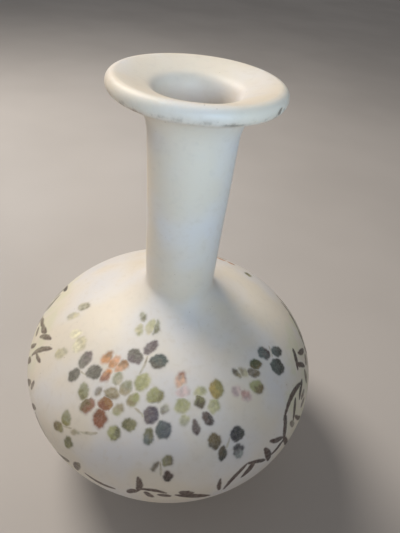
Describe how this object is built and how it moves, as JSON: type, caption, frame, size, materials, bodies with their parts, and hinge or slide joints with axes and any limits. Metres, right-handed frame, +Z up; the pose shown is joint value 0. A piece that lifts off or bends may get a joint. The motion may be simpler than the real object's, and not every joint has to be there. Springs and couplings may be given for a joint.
{
  "type": "bottle vase",
  "caption": "Bottle vase with a round belly on a foot ring, a tall slender neck and a wide saucer lip, decorated with enamel leaf sprays and a scroll border.",
  "frame": {"origin": "centre of the foot ring's lower face, on the vase's own axis", "axes": "+Z up along the vase's axis, -Y towards the front of the decoration, +X to the viewer's right"},
  "size_m": [0.19, 0.1904, 0.26],
  "materials": {
    "porcelain": "satin white glaze, faintly warm",
    "biscuit": "unglazed on its lower edge",
    "slate_enamel": "fired overglaze enamel, brushed",
    "ink_enamel": "fired overglaze enamel, brushed",
    "olive_enamel": "fired overglaze enamel, brushed",
    "lime_enamel": "fired overglaze enamel, brushed",
    "straw_enamel": "fired overglaze enamel, thin wash",
    "umber_enamel": "fired overglaze enamel, brushed",
    "rust_enamel": "fired overglaze enamel, brushed",
    "amber_enamel": "fired overglaze enamel, thin wash",
    "pink_enamel": "fired overglaze enamel, thin wash",
    "stem_enamel": "fired overglaze enamel, fine line",
    "border_enamel": "fired overglaze enamel, worn"
  },
  "bodies": {
    "root": {"foot_ring": "biscuit", "lower_body": "porcelain", "shoulder": "porcelain", "neck": "porcelain", "lip": "porcelain", "slate_leaves": "slate_enamel", "ink_leaves": "ink_enamel", "olive_leaves": "olive_enamel", "lime_leaves": "lime_enamel", "straw_leaves": "straw_enamel", "umber_leaves": "umber_enamel", "rust_petals": "rust_enamel", "amber_petals": "amber_enamel", "pink_petals": "pink_enamel", "stem_lines": "stem_enamel", "border_scrolls": "border_enamel", "border_beads": "border_enamel"}
  },
  "joints": []
}
